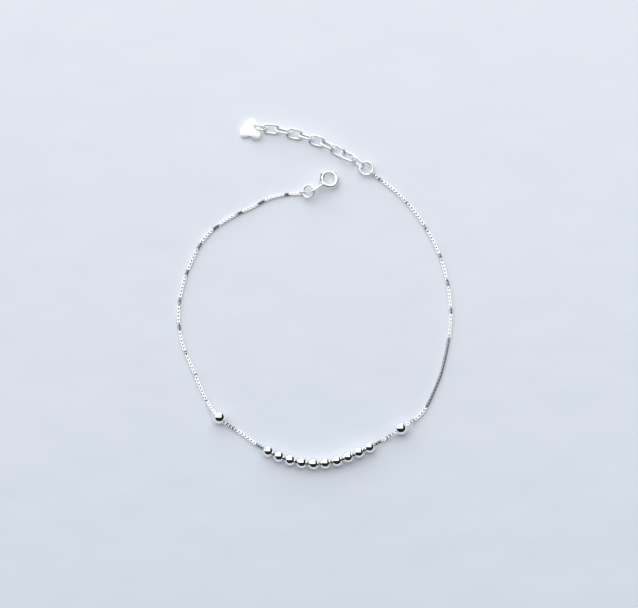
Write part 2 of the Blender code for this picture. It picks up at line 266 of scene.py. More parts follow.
def room_strength(recipe, direction):
    """How bright the room is in a direction."""
    right, higher = spot_on_bead(recipe, direction)
    window = (1 - past(recipe, right, window_right_edge)) * past(recipe, higher, window_lower_edge)
    pane = window * past(recipe, right, window_left_edge)
    open_side = past(recipe, right, dark_left_edge) * past(recipe, higher, dark_lower_edge)
    dark = (1 - window) * open_side
    light = wall_light + pane * (window_light - wall_light) - dark * (wall_light - dark_light)
    rise = recipe.number("ShaderNodeSeparateXYZ", "Z", None, {"Vector": direction})
    glow = 1 - rising(recipe, rise, *horizon_glow)
    return light + glow * (wall_light - light).larger(0)


def make_room():
    world = bpy.data.worlds.new("studio")
    bpy.context.scene.world = world
    world.use_nodes = True
    world.node_tree.nodes.clear()
    recipe = Recipe(world.node_tree)
    direction = recipe.output("ShaderNodeTexCoord", "Generated")
    colour = {"Color": room_tint, "Strength": room_strength(recipe, direction)}
    light = recipe.output("ShaderNodeBackground", "Background", None, colour)
    recipe.add("ShaderNodeOutputWorld", None, {"Surface": light})
    return world


print("room:", make_room().name, "with a window of strength", window_light)

# %% [markdown]
# ## The cloth
#
# The bracelet lies on a smooth, bluish white cloth. Its colour carries painted shade: it is
# painted a little darker towards the front, and faint sideways creases and the shallowest of
# folds are painted in as darker patches. That is enough, because it is only there to be seen
# past the silver and to be mirrored in it. It also glows a little in its own colour, as painted
# light, and that small glow keeps the shadows as soft as they are in the picture, without a
# brighter window.

# %% Cloth
floor_tint = (0.84, 0.872, 0.932, 1)
# painted shade: the cloth's colour where it is shaded, towards the front and in creases and folds
floor_painted_shade = (0.68, 0.724, 0.792, 1)
cloth_back = 100 * mm
cloth_front = -100 * mm
cloth_painted_glow = 0.13  # painted light: the cloth glows in its own colour, standing in for light from outside the room painted above
cloth_roughness = 0.95
cloth_shine = 0.1
crease_grains = 60
crease_shape = (1, 2.2, 1)
# painted shade in the creases and folds: how much each darkens the cloth
crease_shade_share = 0.4
fold_grains = 9
fold_shade_share = 0.2
weave_grains = 1400
weave_depth = 0.05 * mm
weave_strength = 0.3


def new_material(name):
    """A material, a recipe for its nodes, and the inputs of its shader."""
    material = bpy.data.materials.new(name)
    material.use_nodes = True
    tree = material.node_tree
    return material, Recipe(tree), tree.nodes["Principled BSDF"].inputs


def cloth_painted_shade(recipe, place):
    """Share of the darker tint, as painted shade: a fall towards the front, creases and folds."""
    depth = recipe.number("ShaderNodeSeparateXYZ", "Y", None, {"Vector": place})
    reach = {"Value": depth, "From Min": cloth_back, "From Max": cloth_front}
    fall = recipe.number("ShaderNodeMapRange", "Result", None, reach)
    stretched = {"Vector": place, "Scale": crease_shape}
    sideways = recipe.output("ShaderNodeMapping", "Vector", None, stretched)
    creases = recipe.noise(sideways, crease_grains, detail=3)
    folds = recipe.noise(place, fold_grains, detail=1)
    return fall + (creases - 0.5) * crease_shade_share + (folds - 0.5) * fold_shade_share


def cloth_finish():
    material, recipe, inputs = new_material("pale_cloth")
    inputs["Roughness"].default_value = cloth_roughness
    inputs["Specular IOR Level"].default_value = cloth_shine
    place = recipe.output("ShaderNodeTexCoord", "Object")
    # painted shade: the cloth's colour darkens towards the front and in its creases and folds
    tint = recipe.mix_colours(cloth_painted_shade(recipe, place), floor_tint, floor_painted_shade)
    recipe.feed(inputs["Base Color"], tint)
    # painted light: the cloth glows in this same colour
    recipe.feed(inputs["Emission Color"], tint)
    inputs["Emission Strength"].default_value = cloth_painted_glow
    height = recipe.noise(place, weave_grains, detail=2)
    weave = {"Height": height, "Distance": weave_depth, "Strength": weave_strength}
    recipe.feed(inputs["Normal"], recipe.output("ShaderNodeBump", "Normal", None, weave))
    return material


cloth = cloth_finish()
print("cloth:", cloth.name, "with", len(cloth.node_tree.nodes), "nodes")

# %% [markdown]
# ## The floor
#
# The cloth lies on one flat square, far wider than the picture, at the height that the bracelet
# rests on.

# %% Floor
floor_reach = 3.0


def make_floor():
    data = bpy.data.meshes.new("floor")
    sheet = bmesh.new()
    bmesh.ops.create_grid(sheet, x_segments=1, y_segments=1, size=floor_reach)
    sheet.to_mesh(data)
    sheet.free()
    floor = bpy.data.objects.new("floor", data)
    data.materials.append(cloth)
    bpy.context.scene.collection.objects.link(floor)
    floor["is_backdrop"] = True
    return floor


print("floor:", [round(side, 1) for side in make_floor().dimensions], "m")

# %% [markdown]
# ## Silver
#
# Polished silver is a metal with almost no roughness. What makes it look handled is small: a
# haze that comes and goes, fine rubbing marks from the polishing wheel, and a trace of warm
# tarnish in patches. Noise read at object coordinates gives all three, so that the marks keep
# their size on every piece. Beads are mirrors, and drawn wire and stamped plate are duller.

# %% Silver finishes
bright_silver = (0.96, 0.96, 0.95, 1)
plated_silver = (0.86, 0.86, 0.85, 1)  # the chain's plating is a little greyer
warm_silver = (0.80, 0.77, 0.70, 1)
cloud_grains = 900
rubbing_grains = 2600
rubbing_shape = (1, 7, 3)
rubbing_haze = 0.5  # of the haze of the clouds
cloud_relief = 2  # times the height of the rubbing marks
patch_grains = 420
patch_start = 0.35  # noise above which a patch is tarnished
rubbing_tarnish = 0.3  # of the tarnish of the patches


def silver_finish(name, metal, polish, haze, marks, tarnish):
    """A silver with this roughness, haze over it, depth of marks and share of tarnish."""
    material, recipe, inputs = new_material(name)
    inputs["Metallic"].default_value = 1
    place = recipe.output("ShaderNodeTexCoord", "Object")
    stretched = {"Vector": place, "Scale": rubbing_shape}
    grain = recipe.output("ShaderNodeMapping", "Vector", None, stretched)
    clouds = recipe.noise(place, cloud_grains, detail=2)
    rubbing = recipe.noise(grain, rubbing_grains, detail=3)
    patches = recipe.noise(place, patch_grains, detail=1)
    recipe.feed(inputs["Roughness"], polish + clouds * haze + rubbing * haze * rubbing_haze)
    share = (patches - patch_start) * tarnish + (rubbing - 0.5) * tarnish * rubbing_tarnish
    recipe.feed(inputs["Base Color"], recipe.mix_colours(share, metal, warm_silver))
    height = rubbing + clouds * cloud_relief
    relief = {"Height": height, "Distance": marks, "Strength": 1}
    recipe.feed(inputs["Normal"], recipe.output("ShaderNodeBump", "Normal", None, relief))
    return material


# For each slot: name, metal, roughness, haze, depth of marks in millimetres, tarnish
silvers = {
    "bead_silver": ("mirror_silver", bright_silver, 0.015, 0.05, 0.0004, 0.10),
    "chain_silver": ("chain_band_silver", plated_silver, 0.05, 0.08, 0.0006, 0.10),
    "link_silver": ("wire_silver", bright_silver, 0.34, 0.12, 0.0010, 0.06),
    "clasp_silver": ("clasp_tube_silver", bright_silver, 0.26, 0.12, 0.0008, 0.08),
    "tag_silver": ("plate_silver", bright_silver, 0.26, 0.14, 0.0012, 0.06),
}
finishes = {
    slot: silver_finish(name, metal, polish, haze, marks * mm, tarnish)
    for slot, (name, metal, polish, haze, marks, tarnish) in silvers.items()
}
print("finishes:", [material.name for material in finishes.values()])

# %% [markdown]
# ## Reading a place from the model
#
# Every solid of the model lies somewhere, tilted in its own way. A ring, link or bead tells its
# own place: the mean of its vertices is its middle, and the directions in which they spread most
# and least are its axes. So nothing is placed by eye, and a finer ring lies just where the
# solid one does.


# %% Places
def frame_of(node):
    """Middle of a solid, and its axes from the longest spread to the shortest."""
    points = np.array([vertex.co for vertex in frame["nodes"][node].data.vertices])
    points = np.unique(points.round(7), axis=0)
    middle = points.mean(axis=0)
    spread = np.linalg.svd(points - middle, full_matrices=False)[2]
    return Vector(middle), [Vector(axis) for axis in spread]


def set_in(middle, along, normal):
    """A frame at this middle, with X as near along as the normal, its Z, lets it be."""
    across = normal.cross(along).normalized()
    axes = Matrix((across.cross(normal), across, normal.normalized())).transposed()
    return Matrix.Translation(middle) @ axes.to_4x4()


jump_ring_middle = frame_of("clasp_jump_ring")[0]
print("clasp's jump ring lies at, mm:", [round(x / mm, 2) for x in jump_ring_middle])

# %% [markdown]
# ## Making a piece
#
# A fine shape starts as a helper, which is a curve or a mesh with modifiers. What it shows is
# taken as a plain mesh and welded, and the helper is dropped. The mesh is then dressed: it gets
# its finish, sharp edges where it has corners, the body that it moves with and a name from the
# solid of the model that it stands for, and that solid is hidden.

# %% Pieces
weld_distance = 0.0005 * mm
sliver_length = 0.0001 * mm


def plain_mesh(source, matrix):
    """What an object shows, as a mesh of its own with welded seams, put in its place."""
    bpy.context.view_layer.update()
    graph = bpy.context.evaluated_depsgraph_get()
    data = bpy.data.meshes.new_from_object(source.evaluated_get(graph), depsgraph=graph)
    shape = bmesh.new()
    shape.from_mesh(data)
    bmesh.ops.remove_doubles(shape, verts=shape.verts, dist=weld_distance)
    bmesh.ops.dissolve_degenerate(shape, edges=shape.edges, dist=sliver_length)
    bmesh.ops.recalc_face_normals(shape, faces=shape.faces)
    shape.to_mesh(data)
    shape.free()
    data.transform(matrix)
    return data


def dress(node, data, slot, body="bracelet", crease=40):
    """A piece of the bracelet, from a mesh that lies in place, for a solid of the model."""
    piece = bpy.data.objects.new(node + "_silver", data)
    data.name = piece.name
    data.materials.clear()
    data.materials.append(finishes[slot])
    data.shade_smooth()
    data.set_sharp_from_angle(angle=math.radians(crease))
    bpy.context.scene.collection.objects.link(piece)
    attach(piece, body)
    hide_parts(node)
    return piece


def helper(data):
    """An object for a mesh or curve that is only there to make another."""
    made = bpy.data.objects.new("helper", data)
    bpy.context.scene.collection.objects.link(made)
    return made


def discard(*objects):
    for made in objects:
        bpy.data.objects.remove(made, do_unlink=True)


print("finishes to choose from:", len(finishes))

# %% [markdown]
# ## Beads
#
# A bead is turned: one profile, spun round the hole. The hole's edge is rolled over, which
# catches a thin line of light. The profile is drawn once and spun by a Screw modifier, and each
# bead is a copy of the result set on the chain where its solid lies.

# %% Beads
bead_diameter = 2.9 * mm
stopper_diameter = 3.2 * mm
bead_bore = 1.15 * mm
bead_lip = 0.06 * mm
bead_profile_steps = 30
bead_lip_steps = 4
bead_turn_steps = 56


def bead_profile(diameter):
    """Radii and heights, from the top of the hole down outside and back up inside."""
    radius = diameter / 2
    lip_height = math.sqrt((radius - bead_lip) ** 2 - (bead_bore / 2 + bead_lip) ** 2)
    edge = math.atan2(bead_bore / 2 + bead_lip, lip_height)
    outside = [
        edge + (math.pi - 2 * edge) * step / bead_profile_steps
        for step in range(bead_profile_steps + 1)
    ]
    profile = [(radius * math.sin(angle), radius * math.cos(angle)) for angle in outside]
    rolled = []
    for step in range(1, bead_lip_steps + 1):
        angle = edge - (edge + math.pi / 2) * step / bead_lip_steps
        outwards = bead_lip * math.sin(angle)
        higher = bead_lip * math.cos(angle)
        rolled.append((bead_bore / 2 + bead_lip + outwards, lip_height + higher))
    profile += [(r, -z) for r, z in rolled]
    profile += rolled[::-1]
    return profile


def turned(profile, steps, closed, matrix=Matrix()):
    """A mesh spun round Z from a profile of radii and heights, put in its place."""
    data = bpy.data.meshes.new("turned")
    drawn = bmesh.new()
    rim = [drawn.verts.new((r, 0, z)) for r, z in profile]
    ends = rim[1:] + rim[:1] if closed else rim[1:]
    for start, end in zip(rim, ends):
        drawn.edges.new((start, end))
    drawn.to_mesh(data)
    drawn.free()
    source = helper(data)
    screw = source.modifiers.new("turned", "SCREW")
    screw.steps = screw.render_steps = steps
    made = plain_mesh(source, matrix)
    discard(source)
    return made


def place_bead(node, shape):
    middle, axes = frame_of(node)
    data = shape.copy()
    data.transform(set_in(middle, axes[1], axes[0]))
    return dress(node, data, "bead_silver", crease=60)


bead_shape = turned(bead_profile(bead_diameter), bead_turn_steps, closed=True)
stopper_shape = turned(bead_profile(stopper_diameter), bead_turn_steps, closed=True)
bead_nodes = sorted(node for node in frame["nodes"] if node.startswith("bead_"))
stopper_nodes = sorted(node for node in frame["nodes"] if node.startswith("stopper_bead"))
beads = [place_bead(node, bead_shape) for node in bead_nodes]
beads += [place_bead(node, stopper_shape) for node in stopper_nodes]
print("beads:", len(beads), "with", len(bead_shape.polygons), "faces each")

# %% [markdown]
# ## The box chain's route
#
# A box chain is square loops of band, each threaded through the one before and turned a quarter
# about the chain. They are laid out below along a curve, which follows the same route as the
# model's solid chain. Seen from above, that route is a smooth line through a few points.

# %% The chain's route
# Middle of the chain from its clasp end to its extender end, seen from above, in millimetres
chain_route = [
    (-4.0, 25.9), (-6.4, 25.8), (-10.9, 24.9), (-16.0, 22.3), (-22.3, 19.1), (-27.7, 14.5),
    (-31.2, 8.0), (-33.5, 1.0), (-34.3, -6.2), (-33.1, -13.2), (-30.3, -20.0), (-27.6, -26.2),
    (-23.8, -32.1), (-18.2, -35.8), (-11.8, -40.4), (-6.2, -42.7), (-0.4, -43.7), (5.4, -43.0),
    (11.1, -40.8), (16.4, -38.0), (21.7, -34.7), (27.0, -30.5), (30.9, -22.7), (32.6, -17.1),
    (33.9, -10.4), (34.3, -4.2), (33.5, 2.8), (31.8, 9.3), (29.0, 15.6), (25.3, 21.3),
    (20.9, 26.2), (15.4, 30.6),
]
route_steps = 24  # from each point of the route to the next


def smooth_curve(points, steps):
    """Many points along a smooth curve that passes through each of the given ones."""
    through = [2 * points[0] - points[1], *points, 2 * points[-1] - points[-2]]
    curve = []
    for before, start, end, after in zip(through, through[1:], through[2:], through[3:]):
        for t in np.arange(steps) / steps:
            bend = (2 * before - 5 * start + 4 * end - after) * t**2
            twist = (3 * start - before - 3 * end + after) * t**3
            curve.append((2 * start + (end - before) * t + bend + twist) / 2)
    return np.array([*curve, points[-1]])


route = smooth_curve(np.array(chain_route) * mm, route_steps)
print("route:", len(chain_route), "points, made into", len(route))

# %% [markdown]
# ## How high the chain lies
#
# The chain lies on the cloth, except where a bead holds it up by its middle. It falls away from
# there over a few millimetres, on both sides. Its two ends reach a little past the solid's and
# rise to the small links that they hang on.

# %% The chain's path
chain_width = 0.75 * mm
chain_lift = 0.07 * mm  # keeps the corners of turned links off the cloth
chain_fall = 4.0 * mm
bead_pitch = 2.96 * mm
bead_row_station = 105.5 * mm
left_stopper_station = 77.2 * mm
right_stopper_station = 128.0 * mm
chain_end_reach = 0.207 * mm  # past the solid chain's end, to the wire of the end link
chain_end_run = 1.75 * mm
chain_end_rise = 0.285 * mm
chain_points = 1200


def smooth_share(share):
    share = np.clip(share, 0, 1)
    return share * share * (3 - 2 * share)


def chain_height(stations, length):
    """Height of the chain's middle, on the cloth except at the beads and at its two ends."""
    lying = chain_width / 2 + chain_lift
    row_half = len(bead_nodes) * bead_pitch / 2
    stopper = stopper_diameter / 2
    held = [
        (left_stopper_station, stopper, stopper),
        (bead_row_station, row_half, bead_diameter / 2),
        (right_stopper_station, stopper, stopper),
    ]
    height = np.full(len(stations), lying)
    for middle, half, raised in held:
        share = smooth_share(1 - (abs(stations - middle) - half) / chain_fall)
        height = np.maximum(height, lying + (raised - lying) * share)
    from_end = np.minimum(stations, length - stations) + chain_end_reach
    return height + chain_end_rise * np.clip(1 - from_end / chain_end_run, 0, 1) ** 2


def chain_path():
    """Stations and points along the chain's middle, a little past the solid chain's ends."""
    plan = route.copy()
    plan[0] += (plan[0] - plan[1]) / np.linalg.norm(plan[0] - plan[1]) * chain_end_reach
    plan[-1] += (plan[-1] - plan[-2]) / np.linalg.norm(plan[-1] - plan[-2]) * chain_end_reach
    runs = np.linalg.norm(np.diff(plan, axis=0), axis=1)
    travelled = np.concatenate([[0], np.cumsum(runs)]) - chain_end_reach
    length = travelled[-1] - chain_end_reach
    stations = np.linspace(travelled[0], travelled[-1], chain_points)
    flat = [np.interp(stations, travelled, plan[:, axis]) for axis in range(2)]
    return stations, np.column_stack([*flat, chain_height(stations, length)])


path_stations, path_points = chain_path()
chain_length = path_stations[-1] - path_stations[0]
print("chain path, mm:", round(chain_length / mm, 2))

# %% [markdown]
# ## How the chain rocks
#
# The chain also rocks about itself as it lies. Wherever a face turns towards the dark part of
# the room it goes grey, so that rocking is what draws the dark dashes along the loop. A curve
# can carry it, because each of its points has a tilt.

# %% The chain's curve
# Where it rocks over to a dark face: middle and half length in millimetres, turn in degrees
chain_dashes = [
    (3.1, 0.4, -24), (9.9, 0.6, -26), (16.0, 0.5, -25), (23.1, 0.5, -28), (29.5, 0.6, -31),
    (37.2, 0.4, -31), (44.8, 0.4, -31), (51.5, 0.6, -31), (58.2, 0.3, -25), (64.4, 0.2, -25),
    (71.5, 0.1, 24), (105.2, 16.4, 27), (146.0, 9.0, 31), (162.2, 0.4, 31), (169.5, 0.5, 31),
    (176.5, 0.5, 31), (184.7, 0.4, -31), (193.0, 0.5, -16), (202.0, 0.5, -16),
]
chain_dash_fade = 0.6  # millimetres over which it rocks back

# In between: distance along it in millimetres, turn in degrees
chain_lie = [
    (0, 0), (22, 0), (31, -9), (68, -6), (72, 6), (89, 6), (124, 0), (130, 0), (136, 6),
    (180, 6), (184, -6), (200, -3), (203.6, 0),
]


def chain_turns(stations):
    """How far the chain is turned about itself at each station, in degrees."""
    lie = np.interp(stations / mm, *np.array(chain_lie).T)
    turns = lie.copy()
    for middle, half, turn in chain_dashes:
        share = np.clip(1 - (abs(stations / mm - middle) - half) / chain_dash_fade, 0, 1)
        turns += (turn - lie) * share
    return turns


def chain_curve(stations, points):
    """The path as a curve whose tilt carries the chain's turns."""
    data = bpy.data.curves.new("chain_path", "CURVE")
    data.dimensions = "3D"
    spline = data.splines.new("POLY")
    spline.points.add(len(points) - 1)
    for point, place, turn in zip(spline.points, points, chain_turns(stations)):
        point.co = (*place, 1)
        point.tilt = math.radians(turn)
    return helper(data)


chain_line = chain_curve(path_stations, path_points)
print("chain curve:", len(chain_line.data.splines[0].points), "points")

# %% [markdown]
# ## One link
#
# A link is a flat band bent into a square with rounded corners. A geometry node tree bends it,
# from a square path and a rectangular section, and stands it on edge.

# %% One link
chain_band = 0.14 * mm
chain_band_width = 0.42 * mm
chain_corner = 0.16 * mm


def square_loop(recipe, sizes):
    """One loop of flat band, standing on edge with its hole along Y."""
    square = {"Width": sizes["Loop width"], "Height": sizes["Loop width"]}
    middle_line = recipe.output("GeometryNodeCurvePrimitiveQuadrilateral", "Curve", None, square)
    corners = {"Curve": middle_line, "Count": 2, "Radius": sizes["Corner"]}
    rounded = recipe.output("GeometryNodeFilletCurve", "Curve", {"mode": "POLY"}, corners)
    section = {"Width": sizes["Band"], "Height": sizes["Band width"]}
    band = recipe.output("GeometryNodeCurvePrimitiveQuadrilateral", "Curve", None, section)
    bent = {"Curve": rounded, "Profile Curve": band}
    loop = recipe.output("GeometryNodeCurveToMesh", "Mesh", None, bent)
    stood = {"Geometry": loop, "Rotation": (math.pi / 2, 0, 0)}
    return recipe.output("GeometryNodeTransform", "Geometry", None, stood)


print("band of a link, mm:", [round(x / mm, 2) for x in (chain_band, chain_band_width)])

# %% [markdown]
# ## Links along the path
#
# About 440 links would be slow work by hand, and they follow one rule, so the same node tree
# lays them out. It sets a copy at equal steps along the path with its Z along it, and turns
# every second one by a quarter. The pitch is what is left of a loop when the next one is pulled
# tight in it. The loops at the two ends are longer, since they also hold the end links.

# %% Tree that lays out links
link_pitch = 0.46 * mm
end_loop_stretch = 1.3


def new_input(tree, name, kind):
    return tree.interface.new_socket(name=name, in_out="INPUT", socket_type=kind).identifier


def loop_turns(recipe, tangent, normal, index):
    """Z along the path, and a quarter turn about it for every second loop."""
    faces = {"primary_axis": "Z", "secondary_axis": "X"}
    along = {"Primary Axis": tangent, "Secondary Axis": normal}
    lying = recipe.output("FunctionNodeAxesToRotation", "Rotation", faces, along)
    quarter = {"Axis": (0, 0, 1), "Angle": index % 2 * (math.pi / 2)}
    every_second = recipe.output("FunctionNodeAxisAngleToRotation", "Rotation", None, quarter)
    both = {"Rotation": lying, "Rotate By": every_second}
    own_axes = {"rotation_space": "LOCAL"}
    return recipe.output("FunctionNodeRotateRotation", "Rotation", own_axes, both)


def link_tree():
    """Tree that turns a path into linked loops, and the identifiers of its inputs."""
    tree = bpy.data.node_groups.new("box_chain", "GeometryNodeTree")
    new_input(tree, "Geometry", "NodeSocketGeometry")
    lengths = ("Loop width", "Band", "Band width", "Corner")
    inputs = {name: new_input(tree, name, "NodeSocketFloat") for name in lengths}
    inputs["Loops"] = new_input(tree, "Loops", "NodeSocketInt")
    inputs["Finish"] = new_input(tree, "Finish", "NodeSocketMaterial")
    tree.interface.new_socket(name="Geometry", in_out="OUTPUT", socket_type="NodeSocketGeometry")
    recipe = Recipe(tree)
    given = recipe.add("NodeGroupInput").outputs
    upright = {"Curve": given["Geometry"]}
    path = recipe.output("GeometryNodeSetCurveNormal", "Curve", {"mode": "Z_UP"}, upright)
    steps = {"Curve": path, "Count": given["Loops"]}
    places = recipe.add("GeometryNodeCurveToPoints", {"mode": "COUNT"}, steps).outputs
    index = recipe.number("GeometryNodeInputIndex", "Index")
    last = Number(recipe, given["Loops"]) - 1
    inner = (index * (last - index)).smaller(1)
    stretch = end_loop_stretch - inner * (end_loop_stretch - 1)
    scale = recipe.output("ShaderNodeCombineXYZ", "Vector", None, {"X": 1, "Y": 1, "Z": stretch})
    set_out = {
        "Points": places["Points"],
        "Instance": square_loop(recipe, given),
        "Rotation": loop_turns(recipe, places["Tangent"], places["Normal"], index),
        "Scale": scale,
    }
    loops = recipe.output("GeometryNodeInstanceOnPoints", "Instances", None, set_out)
    real = recipe.output("GeometryNodeRealizeInstances", "Geometry", None, {"Geometry": loops})
    dressed = {"Geometry": real, "Material": given["Finish"]}
    chain = recipe.output("GeometryNodeSetMaterial", "Geometry", None, dressed)
    recipe.add("NodeGroupOutput", None, {"Geometry": chain})
    return tree, inputs


box_chain, box_chain_inputs = link_tree()
print("node tree:", box_chain.name, "with", len(box_chain.nodes), "nodes")

# %% [markdown]
# ## The chain
#
# The tree is set on the curve as a modifier and given its sizes. What it makes is then taken as
# one mesh, because the chain is one solid in the model.


# %% Chain
def link_chain(line, length, tree, inputs):
    links = line.modifiers.new("links", "NODES")
    links.node_group = tree
    loops = round(length / link_pitch) + 1
    sizes = {
        "Loop width": chain_width - chain_band,
        "Band": chain_band,
        "Band width": chain_band_width,
        "Corner": chain_corner,
        "Loops": loops,
        "Finish": finishes["chain_silver"],
    }
    for name, value in sizes.items():
        links[inputs[name]] = value
    bpy.context.view_layer.update()
    graph = bpy.context.evaluated_depsgraph_get()
    data = bpy.data.meshes.new_from_object(line.evaluated_get(graph), depsgraph=graph)
    line.modifiers.remove(links)
    discard(line)
    return dress("chain", data, "chain_silver", crease=50), loops


chain, loops = link_chain(chain_line, chain_length, box_chain, box_chain_inputs)
print("chain:", loops, "links,", len(chain.data.polygons) // loops, "faces each")

# %% [markdown]
# ## Wire
#
# Rings, links and clasp are all made of wire. A wire is a curve with a round bevel, and its
# points are worked out here, most of them along an arc. It can also swell or narrow, because
# each point of a curve has a radius.

# %% Wire
wire_bevel_steps = 6


def wire_mesh(points, diameter, matrix, cyclic, swell=None):
    """A round wire through the points, thicker where the swell says so."""
    data = bpy.data.curves.new("wire", "CURVE")
    data.dimensions = "3D"
    data.bevel_depth = diameter / 2
    data.bevel_resolution = wire_bevel_steps
    data.use_fill_caps = not cyclic
    spline = data.splines.new("POLY")
    spline.points.add(len(points) - 1)
    for number, place in enumerate(points):
        spline.points[number].co = (*place, 1)
        spline.points[number].radius = swell[number] if swell else 1
    spline.use_cyclic_u = cyclic
    wire = helper(data)
    made = plain_mesh(wire, matrix)
    discard(wire)
    return made


def arc_points(radius, start, end, steps, height=0.0):
    angles = [start + (end - start) * step / steps for step in range(steps + 1)]
    return [(radius * math.cos(angle), radius * math.sin(angle), height) for angle in angles]


print("sides of a round wire:", 4 + 2 * wire_bevel_steps)

# %% [markdown]
# ## Rings
#
# Jump rings are wire wound on a rod and sawn through, so each keeps a hairline butt seam. The
# small links at the chain's two ends are closed. Each takes its place from its solid.

# %% Rings
seam_gap = 0.05 * mm
sawn_ring_steps = 56
closed_ring_steps = 40


def upright_frame_of(node, heading):
    """A ring's place, its normal turned upwards and X towards a heading seen from above."""
    middle, axes = frame_of(node)
    normal = axes[2] if axes[2].z > 0 else -axes[2]
    return set_in(middle, Vector((math.cos(heading), math.sin(heading), 0)), normal)


def sawn_ring(node, diameter, wire, seam):
    """A ring with a hairline seam at this heading, in degrees."""
    radius = (diameter - wire) / 2
    half_seam = seam_gap / 2 / radius
    points = arc_points(radius, half_seam, 2 * math.pi - half_seam, sawn_ring_steps)
    matrix = upright_frame_of(node, math.radians(seam))
    return dress(node, wire_mesh(points, wire, matrix, False), "link_silver")


def closed_ring(node, diameter, wire):
    points = arc_points((diameter - wire) / 2, 0, 2 * math.pi, closed_ring_steps)[:-1]
    data = wire_mesh(points, wire, upright_frame_of(node, 0), True)
    return dress(node, data, "link_silver")


rings = [
    sawn_ring("clasp_jump_ring", 3.8 * mm, 0.65 * mm, 290),
    sawn_ring("extender_ring", 4.0 * mm, 0.7 * mm, 60),
    sawn_ring("tag_ring", 3.2 * mm, 0.5 * mm, 255),
    closed_ring("end_link_clasp", 1.9 * mm, 0.4 * mm),
    closed_ring("end_link_extender", 1.9 * mm, 0.4 * mm),
]
print("rings:", [ring.name for ring in rings])

# %% [markdown]
# ## The extender's links
#
# The extender's oval links are soldered shut, which leaves a slight swelling in one straight
# side. Each link reads its own tilt from the solid, so the row alternates as it does there.

# %% Extender links
oval_length = 4.5 * mm
oval_width = 3.0 * mm
oval_wire = 0.6 * mm
solder_swell = 0.10
solder_reach = 0.35 * mm


def oval_points(length, width, wire, bend_steps=18, side_steps=6):
    """Points of an oval wire along X, with the middle of each straight side among them."""
    radius = (width - wire) / 2
    straight = (length - width) / 2
    points = []
    for side in (1, -1):
        for x, y, _ in arc_points(radius, -math.pi / 2, math.pi / 2, bend_steps):
            points.append((side * (straight + x), side * y, 0))
        for step in range(1, side_steps):
            points.append((side * straight * (1 - 2 * step / side_steps), side * radius, 0))
    return points


def thickness(point, joint):
    """Thickness of a link's wire at a point, as a multiple, greatest at the soldered joint."""
    away = (Vector(point) - joint).length / solder_reach
    return 1 + solder_swell * math.exp(-(away**2))


def soldered_link(node):
    middle, axes = frame_of(node)
    normal = axes[2] if axes[2].z > 0 else -axes[2]
    along = axes[0] if axes[0].x < 0 else -axes[0]
    points = oval_points(oval_length, oval_width, oval_wire)
    joint = Vector((0, (oval_width - oval_wire) / 2, 0))
    swell = [thickness(point, joint) for point in points]
    data = wire_mesh(points, oval_wire, set_in(middle, along, normal), True, swell)
    return dress(node, data, "link_silver")


link_nodes = sorted(node for node in frame["nodes"] if node.startswith("extender_link_"))
links = [soldered_link(node) for node in link_nodes]
print("extender:", len(links), "links,", len(links[0].data.polygons), "faces each")

# %% [markdown]
# ## The spring-ring clasp
#
# The clasp is a hollow ring with a gap. A curved bolt inside it closes the gap, and a small
# trigger, which stands out through a slot, pulls it back against a spring. The clasp's place
# comes from the model's joint, which turns about the ring's axis, and from the eyelet, which is
# the part of the solid farthest from that axis.

# %% The clasp's place and sizes
clasp_diameter = 5.0 * mm
clasp_tube = 1.15 * mm
clasp_bore = 0.8 * mm
clasp_gap_angle = math.radians(-124)
clasp_gap = 1.5 * mm
eyelet_length = 4.1 * mm
eyelet_width = 2.4 * mm
eyelet_wire = 0.65 * mm
eyelet_roll = math.radians(72)
solder_depth = 0.3 * mm
bolt_clearance = 0.1 * mm
bolt_entry = 0.15 * mm
trigger_angle = math.radians(-69)
trigger_travel = math.radians(45)
trigger_lean = math.radians(45)
trigger_tail = 1.0 * mm
trigger_post = 0.26 * mm
trigger_knob = 0.6 * mm
trigger_height = 0.35 * mm
clasp_radius = (clasp_diameter - clasp_tube) / 2
clasp_half_gap = clasp_gap / clasp_radius / 2


def clasp_frame():
    """Frame with Z on the clasp's axis and X from its middle to its eyelet."""
    joint = frame["joints"][0]
    middle = Vector(joint["pos_m"])
    axis = Vector(joint["axis"]).normalized()
    arms = [vertex.co - middle for vertex in frame["nodes"]["clasp_ring"].data.vertices]
    reach = max(arm.length for arm in arms)
    eyelet = sum((arm for arm in arms if arm.length > reach - 0.05 * mm), Vector())
    return set_in(middle, eyelet, axis)


clasp_place = clasp_frame()
print("clasp's middle, mm:", [round(x / mm, 2) for x in clasp_place.translation])

# %% [markdown]
# ## The clasp's ring
#
# The ring is a tube bent round, with its eyelet joined on. It is cut by two shapes, its bore and
# its slot, with the exact solver, because those cuts are real openings that show. At the two
# mouths of the gap the tube is rounded off.

# %% Clasp ring
mouth_length = 0.12 * mm
mouth_steps = 4
ring_steps = 84
bore_steps = 96
slot_steps = 24


def cut(target, operation, tool):
    """Cuts or joins one mesh object with another, and drops the tool."""
    step = target.modifiers.new("cut", "BOOLEAN")
    step.operation = operation
    step.solver = "EXACT"
    step.object = tool
    data = plain_mesh(target, Matrix())
    target.modifiers.remove(step)
    target.data = data
    discard(tool)


def softened(count, ends, least):
    """Radius along a bar whose two ends are rounded off."""
    shares = [min(number, count - 1 - number, ends) / ends for number in range(count)]
    return [least + (1 - least) * math.sqrt(1 - (1 - share) ** 2) for share in shares]


def ring_points():
    """Along the ring from one side of the gap to the other, with close steps at its mouths."""
    start = clasp_gap_angle + clasp_half_gap
    end = clasp_gap_angle - clasp_half_gap + 2 * math.pi
    mouth = mouth_length / clasp_radius
    near = arc_points(clasp_radius, start, start + mouth, mouth_steps)
    between = arc_points(clasp_radius, start + mouth, end - mouth, ring_steps)
    far = arc_points(clasp_radius, end - mouth, end, mouth_steps)
    return near[:-1] + between + far[1:]


